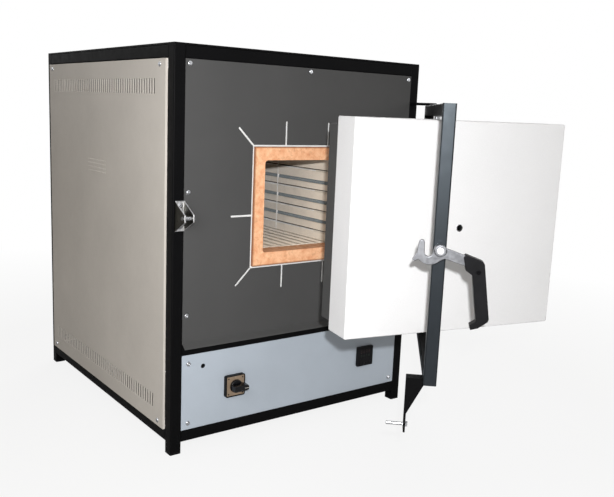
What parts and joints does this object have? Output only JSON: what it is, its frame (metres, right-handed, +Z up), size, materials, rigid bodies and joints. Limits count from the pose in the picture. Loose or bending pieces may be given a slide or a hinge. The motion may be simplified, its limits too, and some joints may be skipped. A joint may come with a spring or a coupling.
{
  "type": "muffle furnace",
  "caption": "Floor-standing electric muffle furnace on a square-tube frame, with a swing-arm door that turns on its middle pivot, a hook lever latch and a cam switch.",
  "frame": {"origin": "on the floor under the middle of the front left foot, seen from the loading side", "axes": "+Z up, -Y the loading side with the door, +X to the right seen from the loading side"},
  "size_m": [0.6652, 1.3242, 0.84],
  "materials": {
    "frame_black": "satin black powder coat",
    "side_grey": "warm light grey powder coat",
    "graphite": "fine matt graphite paint",
    "control_grey": "cool light grey paint",
    "door_white": "pale grey smooth paint",
    "bright_steel": "zinc plated, bright",
    "cast_alloy": "satin cast alloy",
    "bronze": "plain",
    "black_plastic": "fine grain black",
    "gloss_black": "glossy black",
    "label_brown": "bronze brown face plate",
    "ceramic_orange": "fired ceramic, mottled salmon orange",
    "brick_tan": "pressed refractory, tan grey",
    "fibre_white": "white ceramic fibre",
    "element_dark": "oxidised resistance wire",
    "terminal_grey": "moulded grey"
  },
  "bodies": {
    "furnace": {"bottom_plate": "bright_steel", "cable_gland": "black_plastic", "casing_screws": "bright_steel", "control_panel": "control_grey", "controller_case": "black_plastic", "controller_window": "gloss_black", "door_switch_body": "terminal_grey", "foot_caps": "black_plastic", "frame_posts": "frame_black", "frame_rails_bottom": "frame_black", "frame_rails_middle": "frame_black", "frame_rails_top": "frame_black", "front_fibre_sheet": "fibre_white", "front_panel": "graphite", "hearth_plate": "brick_tan", "heating_elements": "element_dark", "hinge_brackets": "frame_black", "hinge_pins": "bright_steel", "insulation_back": "fibre_white", "insulation_floor": "fibre_white", "insulation_roof": "fibre_white", "insulation_sides": "fibre_white", "latch_bracket": "bright_steel", "latch_pin": "bright_steel", "muffle_back": "brick_tan", "muffle_front_frame": "ceramic_orange", "muffle_roof": "brick_tan", "muffle_wall_left": "brick_tan", "muffle_wall_right": "brick_tan", "panel_tabs": "frame_black", "power_relay": "terminal_grey", "rear_panel": "side_grey", "side_panel_left": "side_grey", "side_panel_right": "side_grey", "switch_bezel": "black_plastic", "switch_body": "terminal_grey", "switch_plate": "label_brown", "terminal_block": "terminal_grey", "thermocouple": "bright_steel", "top_cover": "frame_black"},
    "door_arm": {"arm_hinge_tube": "frame_black", "arm_hinge_bushes": "bronze", "arm_front_bar": "frame_black", "arm_top_tube": "frame_black", "arm_bottom_tube": "frame_black", "door_pivot_pins": "bright_steel", "striker_bracket": "frame_black", "striker_pin": "bright_steel", "lever_stud": "bright_steel"},
    "door": {"door_casing": "door_white", "door_inner_casing": "graphite", "door_pivot_bushes": "bronze", "door_filling": "fibre_white", "door_plug": "fibre_white", "sight_tube": "bright_steel"},
    "lever": {"lever_casting": "cast_alloy", "lever_grip": "black_plastic", "lever_grip_screw": "bright_steel"},
    "cam_knob": {"switch_knob": "gloss_black"},
    "switch_plunger": {"door_switch_plunger": "terminal_grey"}
  },
  "joints": [
    {"name": "arm_swing", "type": "hinge", "parent": "furnace", "child": "door_arm", "pos_m": [0.625, -0.0675, 0.508], "axis": [0, 0, 1], "range_deg": [-47.5, 67.5]},
    {"name": "door_turn", "type": "hinge", "parent": "door_arm", "child": "door", "pos_m": [0.41388, -0.2979, 0.515], "axis": [0, 0, 1], "range_deg": [-85.5, 60.1]},
    {"name": "lever_turn", "type": "hinge", "parent": "door_arm", "child": "lever", "pos_m": [0.20445, -0.52646, 0.509], "axis": [-0.6756, -0.7373, 0], "range_deg": [0, 70]},
    {"name": "cam_turn", "type": "hinge", "parent": "furnace", "child": "cam_knob", "pos_m": [0.1385, -0.0225, 0.129], "axis": [0, -1, 0], "range_deg": [0, 90]},
    {"name": "plunger_travel", "type": "slide", "parent": "furnace", "child": "switch_plunger", "axis": [0, 1, 0], "range_m": [0, 0.003], "stiffness_N_per_m": 400, "springref_m": -0.002}
  ],
  "couplings": [
    {"joint": "door_turn", "follows": "arm_swing", "ratio": -1.2632}
  ]
}
